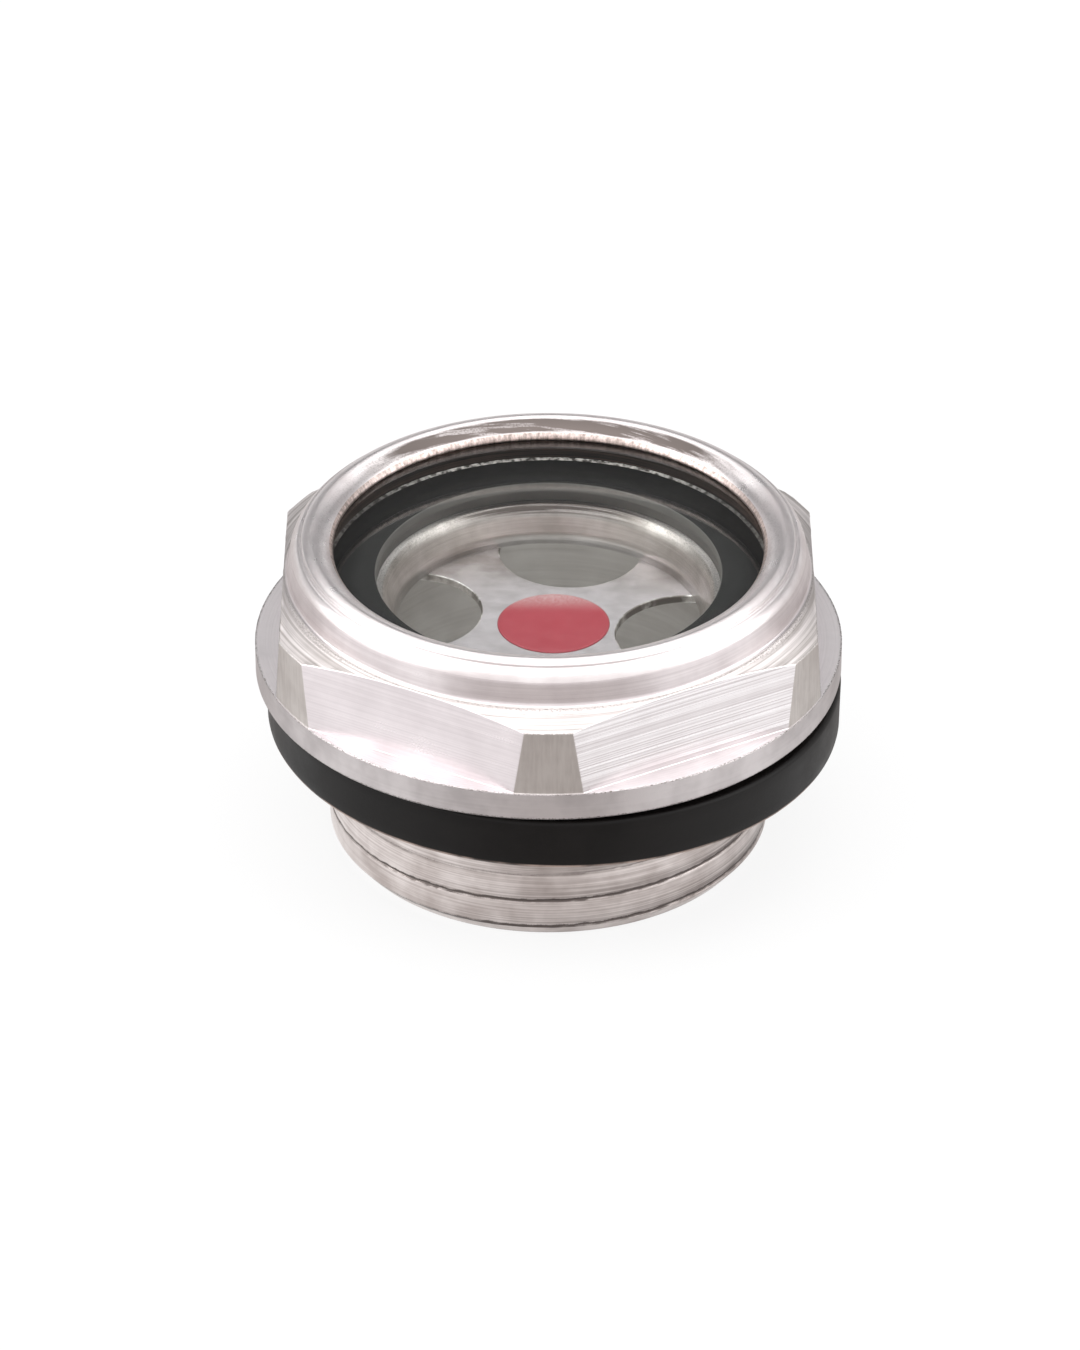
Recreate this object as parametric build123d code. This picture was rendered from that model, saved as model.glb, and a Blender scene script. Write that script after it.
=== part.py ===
from build123d import *
import os
from math import cos, hypot, radians, sin, tan

# Screw-in tank level gauge: an aluminium plug with a window that shows the oil level.
# All sizes in millimetres. The axis is Z, the open end of the spigot stands on z = 0,
# and one corner of the hexagon points along -Y.

# ---- Spigot, with the major diameter of a G 3/4 pipe thread ----
thread_d = 26.44
spigot_length = 11.1
spigot_wall = 2.42
end_chamfer = 0.85
end_chamfer_drop = 0.7
relief_depth = 1.12
relief_length = 2.8
mouth_chamfer = 0.3
spigot_bore_d = thread_d - 2 * spigot_wall
relief_d = thread_d - 2 * relief_depth

# ---- Flat packing that hangs on the spigot, under the flange ----
tank_packing_slack = 0.43
tank_packing_near_gap = 0.13
tank_packing_width = 3.5
tank_packing_thickness = 3.2
tank_packing_edge = 0.15
tank_packing_tilt_deg = 1.1
tank_packing_gap = 0.03
tank_packing_bore_d = thread_d + 2 * tank_packing_slack
tank_packing_d = tank_packing_bore_d + 2 * tank_packing_width
tank_packing_shift = tank_packing_slack - tank_packing_near_gap

# ---- Flange that covers the packing, and the hexagon milled above it ----
flange_overhang = 0.35
flange_thickness = 1.8
flange_edge = 0.15
corner_step = 0.07
hex_sides = 6
hex_turn_deg = 30.0
hex_height = 4.1
hex_draft_deg = 3.6
flat_depth = 1.43
crown_angle_deg = 18.0
flange_d = tank_packing_d + 2 * flange_overhang
corner_d = flange_d - 2 * corner_step
hex_flats = corner_d - 2 * flat_depth

# ---- Neck and rolled lip that holds the window ----
neck_inset = 0.55
neck_taper = 0.15
neck_foot_chamfer = 0.2
lip_height = 2.37
lip_outer_r = 1.1
lip_shoulder = 0.2
lip_width = 1.25
lip_nose = 0.2
lip_inner_bulge = 0.17
roll_groove_angle_deg = 50.0
roll_groove_half_deg = 7.0
roll_groove_depth = 0.12
neck_foot_d = hex_flats - 2 * neck_inset
neck_top_d = neck_foot_d - 2 * neck_taper
lip_crest_d = neck_top_d - 2 * (lip_outer_r + lip_shoulder)
lip_opening_d = lip_crest_d - 2 * lip_width

# ---- Window that the lip overlaps, its packing and the well below it ----
lip_overlap = 0.45
glass_thickness = 3.6
glass_edge = 0.2
window_clearance = 0.05
glass_packing_thickness = 1.2
glass_packing_width = 2.95
well_ledge = 0.45
well_taper = 0.7
well_depth = 2.35
glass_d = lip_opening_d + 2 * lip_overlap
window_seat_d = glass_d + 2 * window_clearance
glass_packing_bore_d = glass_d - 2 * glass_packing_width
well_top_d = glass_packing_bore_d - 2 * well_ledge
well_floor_d = well_top_d - 2 * well_taper

# ---- Reflector plate with round bites in its rim, and the red dot at its middle ----
plate_thickness = 0.5
plate_clearance = 0.1
plate_waist_r = 4.1
scallop_r = 4.3
scallop_count = 4
plate_turn_deg = -9.0
dot_margin = 0.75
dot_thickness = 0.08
dot_shift_x = 0.3
dot_shift_y = -0.2
stake_height = 0.5
stake_depth = 0.3
scallop_centre_r = plate_waist_r + scallop_r
dot_d = 2 * (plate_waist_r - dot_margin)

# ---- Levels on the axis, worked out from the sizes above ----
crown_slope = tan(radians(crown_angle_deg))
seal_z = spigot_length
flange_top_z = seal_z + flange_thickness
hex_corner_z = flange_top_z + hex_height
neck_foot_z = hex_corner_z + (corner_d - neck_foot_d) / 2 * crown_slope
crest_z = neck_foot_z + lip_height
glass_top_z = crest_z - lip_outer_r
glass_floor_z = glass_top_z - glass_thickness
ledge_z = glass_floor_z - glass_packing_thickness
plate_top_z = ledge_z - well_depth
plate_floor_z = plate_top_z - plate_thickness


def bulged_arc(start, end, bulge):
    """An arc from start to end that stands out by bulge to the right of its chord."""
    run = end[0] - start[0]
    rise = end[1] - start[1]
    chord = hypot(run, rise)
    middle = ((start[0] + end[0]) / 2, (start[1] + end[1]) / 2)
    crown = (middle[0] + rise / chord * bulge, middle[1] - run / chord * bulge)
    return ThreePointArc(start, crown, end)


def on_lip(angle_deg, inset=0.0):
    """A point on the lip's outer round, at an angle above the horizontal."""
    angle = radians(angle_deg)
    radius = lip_outer_r - inset
    across = lip_crest_d / 2 + radius * cos(angle)
    return (across, crest_z - lip_outer_r + radius * sin(angle))


def turned_profile():
    """Half section of the body, drawn from the spigot's mouth up the outside and back."""
    bore_r = spigot_bore_d / 2
    thread_r = thread_d / 2
    relief_r = relief_d / 2
    flange_r = flange_d / 2
    corner_r = corner_d / 2
    opening_r = lip_opening_d / 2
    seat_r = window_seat_d / 2
    relief_z = seal_z - relief_length
    foot_r = neck_foot_d / 2 + neck_foot_chamfer
    foot_z = neck_foot_z - neck_foot_chamfer * crown_slope
    neck_foot = (neck_foot_d / 2, neck_foot_z + neck_foot_chamfer)
    neck_top = (neck_top_d / 2, glass_top_z)
    groove_upper = on_lip(roll_groove_angle_deg + roll_groove_half_deg)
    groove_floor = on_lip(roll_groove_angle_deg, roll_groove_depth)
    groove_lower = on_lip(roll_groove_angle_deg - roll_groove_half_deg)
    crest = on_lip(90)
    nose = (opening_r, glass_top_z + lip_nose)

    outside = Polyline(
        (bore_r + mouth_chamfer, 0),
        (thread_r - end_chamfer_drop, 0),
        (thread_r, end_chamfer),
        (thread_r, relief_z - (thread_r - relief_r)),
        (relief_r, relief_z),
        (relief_r, seal_z),
        (flange_r - flange_edge, seal_z),
        (flange_r, seal_z + flange_edge),
        (flange_r, flange_top_z),
        (corner_r, flange_top_z),
        (corner_r, hex_corner_z),
        (foot_r, foot_z),
        neck_foot,
        neck_top,
        groove_lower,
        groove_floor,
        groove_upper,
    )
    middle_deg = (90 + roll_groove_angle_deg + roll_groove_half_deg) / 2
    top = ThreePointArc(groove_upper, on_lip(middle_deg), crest)
    roll = bulged_arc(crest, nose, lip_inner_bulge)
    inside = Polyline(
        nose,
        (opening_r + lip_nose, glass_top_z),
        (seat_r, glass_top_z),
        (seat_r, ledge_z),
        (well_top_d / 2, ledge_z),
        (well_floor_d / 2, plate_top_z),
        (bore_r, plate_top_z),
        (bore_r, plate_floor_z),
        (bore_r - stake_depth, plate_floor_z),
        (bore_r, plate_floor_z - stake_height),
        (bore_r, mouth_chamfer),
        (bore_r + mouth_chamfer, 0),
    )
    lines = [outside, top, roll, inside]
    return Plane.XZ * make_face([edge for line in lines for edge in line.edges()])


def hexagon_waste():
    """The ring that the milling cutter takes away, leaving six drafted flats."""
    across = RegularPolygon(hex_flats / 2, hex_sides, major_radius=False, rotation=hex_turn_deg)
    height = crest_z - flange_top_z
    hexagon = extrude(across, amount=height, taper=hex_draft_deg)
    blank = Cylinder(flange_d, height, align=(Align.CENTER, Align.CENTER, Align.MIN))
    return Pos(0, 0, flange_top_z) * (blank - hexagon)


def make_body():
    turned = revolve(turned_profile(), Axis.Z)
    return turned - hexagon_waste()


def make_sight_glass():
    disc = Cylinder(glass_d / 2, glass_thickness, align=(Align.CENTER, Align.CENTER, Align.MIN))
    disc = chamfer(disc.edges().filter_by(GeomType.CIRCLE), glass_edge)
    return Pos(0, 0, glass_floor_z) * disc


def flat_ring(outer_d, bore_d, thickness):
    ring = Circle(outer_d / 2) - Circle(bore_d / 2)
    return extrude(ring, amount=thickness)


def make_glass_packing():
    ring = flat_ring(glass_d, glass_packing_bore_d, glass_packing_thickness)
    return Pos(0, 0, ledge_z) * ring


def make_reflector_plate():
    outline = Circle(spigot_bore_d / 2 - plate_clearance)
    outline -= PolarLocations(scallop_centre_r, scallop_count) * Circle(scallop_r)
    plate = extrude(outline, amount=plate_thickness)
    return Pos(0, 0, plate_floor_z) * Rot(0, 0, plate_turn_deg) * plate


def make_red_dot():
    dot = Cylinder(dot_d / 2, dot_thickness, align=(Align.CENTER, Align.CENTER, Align.MIN))
    return Pos(dot_shift_x, dot_shift_y, plate_top_z) * dot


def make_tank_packing():
    """The packing hangs loosely on the spigot, so it lies a little askew and to one side."""
    ring = flat_ring(tank_packing_d, tank_packing_bore_d, tank_packing_thickness)
    outer_edges = ring.edges().filter_by(GeomType.CIRCLE).sort_by(SortBy.RADIUS)[-2:]
    ring = chamfer(outer_edges, tank_packing_edge)
    tilt = radians(tank_packing_tilt_deg)
    top = tank_packing_thickness * cos(tilt) + tank_packing_d / 2 * sin(tilt)
    lift = seal_z - tank_packing_gap - top
    return Pos(tank_packing_shift, 0, lift) * Rot(0, tank_packing_tilt_deg, 0) * ring


os.makedirs("parts", exist_ok=True)
pieces = {
    "body": make_body,
    "sight_glass": make_sight_glass,
    "glass_packing": make_glass_packing,
    "reflector_plate": make_reflector_plate,
    "red_dot": make_red_dot,
    "tank_packing": make_tank_packing,
}
for name, make in pieces.items():
    export_step(make(), f"parts/{name}.step")
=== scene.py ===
import bpy
import math
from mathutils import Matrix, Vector, noise


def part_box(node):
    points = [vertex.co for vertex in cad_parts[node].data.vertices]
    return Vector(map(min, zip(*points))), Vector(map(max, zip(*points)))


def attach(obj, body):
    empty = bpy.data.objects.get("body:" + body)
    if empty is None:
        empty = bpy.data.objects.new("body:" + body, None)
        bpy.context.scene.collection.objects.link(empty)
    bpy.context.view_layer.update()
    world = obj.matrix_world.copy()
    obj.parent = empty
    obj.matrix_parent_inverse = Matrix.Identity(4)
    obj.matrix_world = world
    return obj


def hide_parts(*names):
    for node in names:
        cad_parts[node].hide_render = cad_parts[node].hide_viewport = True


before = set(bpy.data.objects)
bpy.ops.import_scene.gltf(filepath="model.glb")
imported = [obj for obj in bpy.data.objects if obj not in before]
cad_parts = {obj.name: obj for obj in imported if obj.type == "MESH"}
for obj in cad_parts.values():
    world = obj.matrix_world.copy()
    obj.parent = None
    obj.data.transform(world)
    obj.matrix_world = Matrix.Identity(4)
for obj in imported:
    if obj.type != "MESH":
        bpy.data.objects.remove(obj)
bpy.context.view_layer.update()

# ---- Stand: a sheet of white card, the lamps, the room and the camera ----
# The gauge stands on its spigot on a sheet of white card, which its flats mirror. A wide
# diffuser hangs overhead and two smaller ones stand left and right.
MM = 0.001
camera_distance = 390.7 * MM
camera_height_deg = 31.83
camera_lens_mm = 174.2
camera_sensor_mm = 36.0
camera_shift = (-0.0063, -0.0105)
camera_clip = 10 * MM
aim_height = 11.1 * MM
overhead_side = 1.0
overhead_back = 0.05
overhead_height = 0.56
overhead_watts = 3.9
side_lamp_side = 0.42
side_lamp_away = 0.5
side_lamp_front = 0.06
side_lamp_height = 0.24
left_lamp_watts = 1.55
right_lamp_watts = 1.05

# The card lies just under the spigot. Metal and glass see painted shade on it in front and behind,
# little at the sides and none under the bore, and a painted pool of light at the left of the spigot's foot.
card_side = 3.0
card_drop = 0.02 * MM
card_white = "#E8E8E8"
card_painted_shade = "#B4B0AE"
card_shadow_share = 0.16
card_mirror_glow = 0.5
front_fade = 32 * MM
back_fade = (-4 * MM, 12 * MM)
back_dim_share = 0.9
bore_fade = (12 * MM, 15 * MM)
bright_patch = (-17 * MM, -8 * MM, 0.0)
bright_patch_fade = (7 * MM, 18 * MM)

# The room, as linear light: levels against how far up a ray points, and the white towards the front.
room_levels = (
    (0.12, (0.9, 0.9, 0.9, 1)), (0.36, (0.15, 0.15, 0.155, 1)), (0.56, (0.15, 0.15, 0.15, 1)),
    (0.7, (0.5, 0.5, 0.5, 1)), (0.9, (0.7, 0.7, 0.7, 1)))
room_front = (1.15, 1.13, 1.13, 1)
room_front_fade = -0.3
white_light = (1, 1, 1, 1)


def linear(code):
    """An sRGB hex colour as linear RGBA."""
    shares = [int(code[i:i + 2], 16) / 255 for i in (1, 3, 5)]
    return tuple(c / 12.92 if c <= 0.04045 else ((c + 0.055) / 1.055) ** 2.4 for c in shares) + (1.0,)


def add(tree, kind, inputs=None, **settings):
    """A new node with its settings; inputs maps a socket to a value or to what feeds it."""
    node = tree.nodes.new(kind)
    for name, value in settings.items():
        setattr(node, name, value)
    for socket, value in (inputs or {}).items():
        if isinstance(value, bpy.types.NodeSocket):
            tree.links.new(value, node.inputs[socket])
        else:
            node.inputs[socket].default_value = value
    return node


def blank_material(name):
    """A material without nodes."""
    material = bpy.data.materials.new(name)
    material.use_nodes = True
    material.node_tree.nodes.clear()
    return material


def finish_material(material, shader):
    """The material with its shader joined to the surface."""
    add(material.node_tree, "ShaderNodeOutputMaterial", {"Surface": shader})
    return material


# White card: the eye gets paper white with a soft shadow; the metal mirrors painted shade and a
# painted pool of light on it, which is what makes its flats and rounds stand apart.
card_material = blank_material("white_card")
tree = card_material.node_tree
path = add(tree, "ShaderNodeLightPath")
place = add(tree, "ShaderNodeTexCoord").outputs["Object"]
apart = add(tree, "ShaderNodeSeparateXYZ", {"Vector": place})
sideways = add(tree, "ShaderNodeMath", {0: apart.outputs["X"]}, operation="ABSOLUTE")
forward = add(tree, "ShaderNodeMath", {0: apart.outputs["Y"], 1: -1.0}, operation="MULTIPLY")
lead = add(tree, "ShaderNodeMath", {0: forward.outputs[0], 1: sideways.outputs[0]}, operation="SUBTRACT")
# Painted shade: for metal and glass the card turns dim in front of the spigot and behind it.
front = add(tree, "ShaderNodeMapRange", {
    "Value": lead.outputs[0], "From Min": 0.0, "From Max": front_fade, "To Min": 0.0, "To Max": 1.0},
    interpolation_type="SMOOTHSTEP")
back = add(tree, "ShaderNodeMapRange", {
    "Value": apart.outputs["Y"], "From Min": back_fade[0], "From Max": back_fade[1],
    "To Min": 0.0, "To Max": back_dim_share}, interpolation_type="SMOOTHSTEP")
reach = add(tree, "ShaderNodeVectorMath", {0: place}, operation="LENGTH").outputs["Value"]
outside_bore = add(tree, "ShaderNodeMapRange", {
    "Value": reach, "From Min": bore_fade[0], "From Max": bore_fade[1], "To Min": 0.0, "To Max": 1.0})
away = add(tree, "ShaderNodeMath", {0: front.outputs[0], 1: back.outputs[0]}, operation="MAXIMUM")
dim = add(tree, "ShaderNodeMath", {0: away.outputs[0], 1: outside_bore.outputs[0]}, operation="MULTIPLY")
paper = add(tree, "ShaderNodeMix", {
    0: dim.outputs[0], 6: linear(card_white), 7: linear(card_painted_shade)}, data_type="RGBA")
matt = add(tree, "ShaderNodeBsdfDiffuse", {"Color": paper.outputs[2]})
shadowed = add(tree, "ShaderNodeBsdfDiffuse", {"Color": linear(card_white)})
glow = add(tree, "ShaderNodeEmission", {"Color": white_light, "Strength": 1.0})
seen = add(tree, "ShaderNodeMixShader", {
    0: 1.0 - card_shadow_share, 1: shadowed.outputs[0], 2: glow.outputs[0]})
# Painted light: a pool of white on the card at the left of the spigot's foot, for metal and glass.
from_patch = add(tree, "ShaderNodeVectorMath", {0: place, 1: bright_patch}, operation="DISTANCE")
glow_share, patch = [add(tree, "ShaderNodeMapRange", {
    "Value": from_patch.outputs["Value"], "From Min": bright_patch_fade[0], "From Max": bright_patch_fade[1],
    "To Min": 1.0, "To Max": outer}) for outer in (card_mirror_glow, 0.0)]
lit_paper = add(tree, "ShaderNodeMix", {
    0: patch.outputs[0], 6: paper.outputs[2], 7: white_light}, data_type="RGBA")
sheen = add(tree, "ShaderNodeEmission", {"Color": lit_paper.outputs[2], "Strength": 1.0})
mirrored = add(tree, "ShaderNodeMixShader", {
    0: glow_share.outputs[0], 1: matt.outputs[0], 2: sheen.outputs[0]})
in_mirror = add(tree, "ShaderNodeMath", {
    0: path.outputs["Is Glossy Ray"], 1: path.outputs["Is Transmission Ray"]}, operation="MAXIMUM")
unseen = add(tree, "ShaderNodeMixShader", {
    0: in_mirror.outputs[0], 1: matt.outputs[0], 2: mirrored.outputs[0]})
card = add(tree, "ShaderNodeMixShader", {
    0: path.outputs["Is Camera Ray"], 1: unseen.outputs[0], 2: seen.outputs[0]})
finish_material(card_material, card.outputs[0])

half = card_side / 2
card_mesh = bpy.data.meshes.new("card")
card_mesh.from_pydata(
    [(x, y, -card_drop) for x, y in ((-half, -half), (half, -half), (half, half), (-half, half))],
    [], [(0, 1, 2, 3)])
card_mesh.materials.append(card_material)
card_object = bpy.data.objects.new("card", card_mesh)
bpy.context.scene.collection.objects.link(card_object)

# The room: white wherever the camera looks past the card. Metal and glass see a white
# backdrop low down and towards the front, and a dimmer room above it.
world = bpy.data.worlds.new("studio")
world.use_nodes = True
world.node_tree.nodes.clear()
tree = world.node_tree
path = add(tree, "ShaderNodeLightPath")
aim = add(tree, "ShaderNodeTexCoord").outputs["Generated"]
apart = add(tree, "ShaderNodeSeparateXYZ", {"Vector": aim})
ramp = add(tree, "ShaderNodeValToRGB", {"Fac": apart.outputs["Z"]})
ramp.color_ramp.interpolation = "EASE"
stops = ramp.color_ramp.elements
stops.remove(stops[1])
stops[0].position, stops[0].color = room_levels[0]
for position, level in room_levels[1:]:
    stops.new(position).color = level
near = add(tree, "ShaderNodeMapRange", {
    "Value": apart.outputs["Y"], "From Min": 0.0, "From Max": room_front_fade, "To Min": 0.0, "To Max": 1.0},
    interpolation_type="SMOOTHSTEP")
lit = add(tree, "ShaderNodeMix", {
    0: near.outputs[0], 6: ramp.outputs["Color"], 7: room_front}, data_type="RGBA")
room = add(tree, "ShaderNodeMix", {
    0: path.outputs["Is Camera Ray"], 6: lit.outputs[2], 7: white_light}, data_type="RGBA")
backdrop = add(tree, "ShaderNodeBackground", {"Color": room.outputs[2], "Strength": 1.0})
add(tree, "ShaderNodeOutputWorld", {"Surface": backdrop.outputs[0]})
bpy.context.scene.world = world

middle = Vector((0, 0, aim_height))


def place_lamp(name, position, side, watts):
    """A square diffuser that faces the gauge."""
    light = bpy.data.lights.new(name, "AREA")
    light.shape = "SQUARE"
    light.size = side
    light.energy = watts
    lamp = bpy.data.objects.new(name, light)
    lamp.location = position
    lamp.rotation_euler = (middle - Vector(position)).to_track_quat("-Z", "Y").to_euler()
    bpy.context.scene.collection.objects.link(lamp)


place_lamp("overhead_diffuser", (0, overhead_back, overhead_height), overhead_side, overhead_watts)
for name, side, watts in (("left_diffuser", -1, left_lamp_watts), ("right_diffuser", 1, right_lamp_watts)):
    place_lamp(name, (side * side_lamp_away, -side_lamp_front, side_lamp_height), side_lamp_side, watts)

camera_data = bpy.data.cameras.new("camera")
camera_data.lens = camera_lens_mm
camera_data.sensor_width = camera_sensor_mm
camera_data.shift_x, camera_data.shift_y = camera_shift
camera_data.clip_start = camera_clip
camera = bpy.data.objects.new("camera", camera_data)
rise = math.radians(camera_height_deg)
camera.location = middle + camera_distance * Vector((0, -math.cos(rise), math.sin(rise)))
camera.rotation_euler = (middle - camera.location).to_track_quat("-Z", "Y").to_euler()
bpy.context.scene.collection.objects.link(camera)
bpy.context.scene.camera = camera
bpy.context.scene.view_settings.view_transform = "Standard"

# ---- Body: the plug itself, turned and milled from aluminium bar ----
# A turned spigot with a cut G 3/4 thread, a flange, a milled hexagon, and a neck whose
# lip is rolled inwards over the window. One piece of bar, so it is one mesh.

# Sizes in mm. Radii end in _r, and heights above the spigot's open end in _z.
spigot_r = 13.22
mouth_bore_r = 10.8
mouth_chamfer = 0.3
end_face_r = 12.2
end_chamfer = 0.85
end_chamfer_drop = 0.7
relief_r = 12.1
relief_z = 8.3
seal_z = 11.1
flange_r = 17.5
flange_top_z = 12.9
flange_edge = 0.15
corner_r = 17.43
hex_corner_z = 17.0
flat_apothem = 16.0
flat_draft = math.tan(math.radians(3.6))
crown_slope = math.tan(math.radians(18.0))
neck_foot_r = 15.45
neck_top_r = 15.3
neck_fillet = 0.25
neck_foot_bulge = -0.07
neck_rows = 4
shoulder_bulge = 0.08
shoulder_rows = 6
shoulder_end_deg = 43
lip_arc_start_deg = 57
lip_arc_rows = 8
crest_r = 14.0
crest_z = 20.013
lip_outer_r = 1.1
lip_inner_bulge = 0.17
roll_rows = 9
lip_opening_r = 12.75
nose_round = 0.06
nose_drop = 0.2
seat_r = 13.25
ledge_z = 14.11
well_rim_width = 0.1
well_rim_drop = 0.06
well_top_r = 9.8
well_taper = ((0.25, 0.8), (0.48, 1.6))
well_floor_r = 9.1
plate_top_z = 11.76
plate_floor_z = 11.26
staked_ridge = 0.3
staked_ridge_height = 0.5
glass_top_z = crest_z - lip_outer_r
neck_foot_z = hex_corner_z + (corner_r - neck_foot_r) * crown_slope
crown_foot = (neck_foot_r + neck_fillet, neck_foot_z - neck_fillet * crown_slope)
neck_foot = (neck_foot_r, neck_foot_z + neck_fillet)

# A fine groove runs round the lip: degrees along the lip's arc, and depth. The taper of the
# well is given as steps in and down from its top.
lip_groove = ((45.5, 0.06), (48, 0.11), (50, 0.12), (52, 0.11), (54.5, 0.06))

# The thread has 14 turns to the inch. Its groove is shallow and torn by the die, and fades
# upwards from groove_full_z to groove_faint_z.
thread_pitch = 25.4 / 14
groove_front_z = 2.68
groove_half = 0.15
groove_depth = 0.09
groove_wander = 0.07
groove_wander_detail = 24
groove_tear = 0.45
groove_tear_detail = 40
groove_tear_plane = 2.0
groove_full_z = 3.3
groove_faint_z = 4.4
groove_fade = 0.9

# Marks on the surface, as shares that a pattern then breaks up. Dark specks: grime on the
# flange's edges, specks on the lip that are heavier at the back, and painted shade in the
# corners, the thread's groove and on the well's rim. Dark streaks: painted shade on the thread
# and, at the back only, on the lip and the well's rim.
groove_grime = 2.0
groove_grime_drop = 0.04
groove_stain = 2.6
die_stain = 1.25
die_stain_height = 1.0
die_stain_deg = 75
flange_grime = 1.1
ledge_grime = 1.2
flat_foot_grime = 0.3
neck_foot_grime = 0.6
lip_grime = 0.15
lip_back_grime = 0.5
lip_back_stain = 2.0
lip_back_deg = 60
well_rim_grime = 0.4
well_back_stain = 2.2
well_back_deg = 42
stained_roll = slice(1, 6)
burr_height = 0.035
burr_detail = 1.8
burr_plane = 3.0

# The mesh is rows of points that run up the outside and down the inside. Columns crowd at the
# hexagon's corners, and a row close beside an edge (a hold) keeps the edge crisp.
flat_columns = 60
corner_columns = 6
corner_crease_deg = 0.2
thread_step = 0.065
edge_hold = 0.1
seal_hold = 0.05
flange_hold = 0.08
ledge_hold = 0.14
ledge_outer_gap = 0.09
ledge_inner_gap = 0.08


def above_groove(turn, height):
    """Height of a point above the thread's groove, by turn (radians) and height (mm). The
    quarter turn is there because the front is at -90 degrees."""
    ragged = noise.noise(Vector((math.cos(turn), math.sin(turn), 0.1 * height)) * groove_wander_detail)
    turns = (height - groove_front_z + groove_wander * ragged) / thread_pitch - (turn / math.tau + 0.25)
    return turns % 1.0 * thread_pitch


def groove_at(turn, height):
    """How far into the groove a point lies, 0 to 1. The die's run-out fades it upwards."""
    above = above_groove(turn, height)
    away = min(above, thread_pitch - above)
    round_axis = Vector((math.cos(turn), math.sin(turn), groove_tear_plane))
    torn = 1 + groove_tear * noise.noise(round_axis * groove_tear_detail)
    risen = min(1.0, max(0.0, (height - groove_full_z) / (groove_faint_z - groove_full_z)))
    return max(0.0, 1 - away / (groove_half * torn)) * (1 - groove_fade * risen)


def stain_at(turn, height):
    """Painted shade above the groove, heavier on one side of the spigot, and in the groove itself."""
    side = 0.5 + 0.5 * math.sin(turn + math.radians(die_stain_deg))
    above = max(0.0, 1 - above_groove(turn, height) / die_stain_height)
    return die_stain * side * above + groove_stain * groove_at(turn, height)


def behind(turn, spread_deg):
    """1 at the back of the plug, fading to 0 over spread_deg to either side."""
    away = abs((math.degrees(turn) + 90) % 360 - 180)
    return max(0.0, 1 - (away / spread_deg) ** 2)


def columns(corner_half):
    """Angles of the mesh's columns, in degrees within one sixth, from corner to corner."""
    near = [corner_half * share for share in (0, 0.2, 0.4, 0.6, 0.8)]
    near += [corner_half - corner_crease_deg, corner_half, corner_half + corner_crease_deg]
    flat = 60 - 2 * near[-1]
    middle = [near[-1] + flat * i / flat_columns for i in range(1, flat_columns)]
    return near + middle + [60 - angle for angle in reversed(near[1:])]


def corner_half_at(height):
    """Half the angle that the bar's round takes up at a corner."""
    apothem = flat_apothem - (height - flange_top_z) * flat_draft
    return 30 - math.degrees(math.acos(apothem / corner_r))


foot_half = corner_half_at(flange_top_z)
top_half = corner_half_at(hex_corner_z)
rows = []


def add_row(make, corner_half, finish, burr=0.0, grime=0.0, stain=0.0):
    """One row of the body's mesh. make gives radius and height from the angle."""
    points = []
    for sixth in range(6):
        for angle in columns(corner_half):
            turn = 60 * sixth + angle - 90
            points.append((math.radians(turn), make(angle, turn)))
    rows.append((points, finish, burr, grime, stain))


def ring(radius, height, finish, corner_half=foot_half, **marks):
    """A plain round row."""
    add_row(lambda angle, turn: (radius, height), corner_half, finish, **marks)


def thread_row(height):
    """A row of the spigot, with the thread's groove, the end's chamfer and the relief."""
    def make(angle, turn):
        radius = spigot_r - groove_depth * groove_at(math.radians(turn), height)
        cone = spigot_r - end_chamfer_drop * max(0.0, 1 - height / end_chamfer)
        runout = relief_r + max(0.0, relief_z - height)
        return (min(radius, cone, runout), height)
    # Painted shade: dark specks and streaks in the thread's groove, and dark streaks in the band above it,
    # heavier on one side.
    add_row(make, foot_half, "thread",
            grime=lambda turn: groove_grime * groove_at(turn, height - groove_grime_drop),
            stain=lambda turn: stain_at(turn, height))


def side_radius(angle, height):
    """Radius of the hexagon's side: the drafted flat, or the bar's round at a corner."""
    facet = math.cos(math.radians(angle - 30))
    return min(corner_r, (flat_apothem - (height - flange_top_z) * flat_draft) / facet)


def hexagon_top(angle):
    """Where the flat, or the bar's round at a corner, meets the crown."""
    facet = math.cos(math.radians(angle - 30))
    lean = flat_draft * crown_slope / facet
    height = hex_corner_z + (corner_r - flat_apothem / facet) * crown_slope - flange_top_z * lean
    height = max(hex_corner_z, height / (1 - lean))
    return (side_radius(angle, height), height)


def ledge_row(gap, least_r=0.0):
    """A row on the ledge, gap away from the hexagon's foot but not inside least_r."""
    def make(angle, turn):
        beside = min(flange_r - edge_hold, side_radius(angle, flange_top_z)) + gap
        return (max(least_r, beside), flange_top_z)
    add_row(make, foot_half, "ledge")


def side_row(share, finish="side", **marks):
    """A row of the hexagon, at a share of the way from its foot to its top."""
    def make(angle, turn):
        height = flange_top_z + share * (hexagon_top(angle)[1] - flange_top_z)
        return (side_radius(angle, height), height)
    add_row(make, corner_half_at(flange_top_z + share * (hex_corner_z - flange_top_z)), finish, **marks)


def crown_row(share, **marks):
    """A row of the crown, at a share of the way from the hexagon's top to the neck."""
    def make(angle, turn):
        return tuple(a + (b - a) * share for a, b in zip(hexagon_top(angle), crown_foot))
    add_row(make, top_half, "crown", **marks)


def bulged(start, end, bulge, count):
    """Points after start up to end, on a shallow arc that stands out to the right."""
    run, climb = end[0] - start[0], end[1] - start[1]
    chord = math.hypot(run, climb)
    points = []
    for i in range(1, count + 1):
        t = i / count
        out = 4 * bulge * t * (1 - t) / chord
        points.append((start[0] + run * t + climb * out, start[1] + climb * t - run * out))
    return points


def on_lip(angle_deg, inset=0.0):
    """A point of the lip's outer arc, or inset below it."""
    angle = math.radians(angle_deg)
    reach = lip_outer_r - inset
    return (crest_r + reach * math.cos(angle), glass_top_z + reach * math.sin(angle))


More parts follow.
